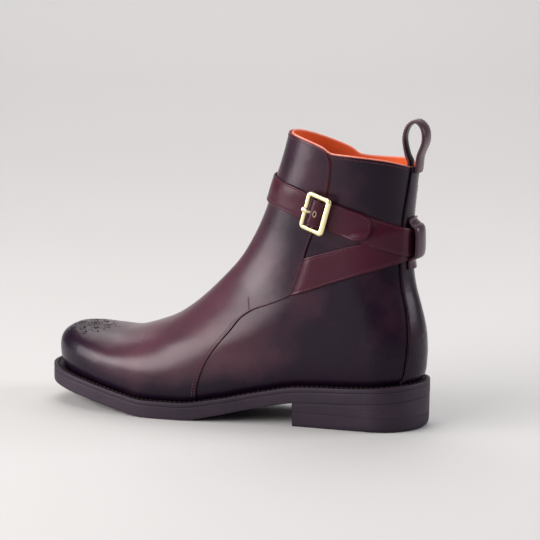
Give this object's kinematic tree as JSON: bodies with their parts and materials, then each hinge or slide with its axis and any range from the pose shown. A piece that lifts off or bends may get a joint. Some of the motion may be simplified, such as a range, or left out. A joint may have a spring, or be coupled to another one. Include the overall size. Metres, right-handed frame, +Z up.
{
  "type": "jodhpur boot",
  "caption": "Left ankle-high leather jodhpur boot with a welted sole, a block heel, a wrap-round strap with a metal buckle on the outer side, and a pull loop behind.",
  "frame": {"origin": "on the floor, under the middle of the boot's bounding box", "axes": "+X towards the toe, +Y towards the outer side of the foot, which is the wearer's left, +Z up"},
  "size_m": [0.303, 0.106, 0.2269],
  "materials": {
    "upper_leather": "burnished, soft sheen",
    "strap_leather": "smooth, soft sheen",
    "sole_leather": "edge-dyed, waxed",
    "lining_leather": "matt",
    "rubber": "matt",
    "brass": "polished, pale"
  },
  "bodies": {
    "root": {"heel_top_piece": "rubber", "heel_lift": "sole_leather", "outsole": "rubber", "welt": "sole_leather", "insole": "lining_leather", "upper": "upper_leather", "backstay": "upper_leather", "pull_loop": "strap_leather", "strap_keeper": "upper_leather", "billet_strap": "strap_leather", "buckle_strap": "strap_leather", "buckle_frame": "brass", "buckle_prong": "brass"}
  },
  "joints": []
}
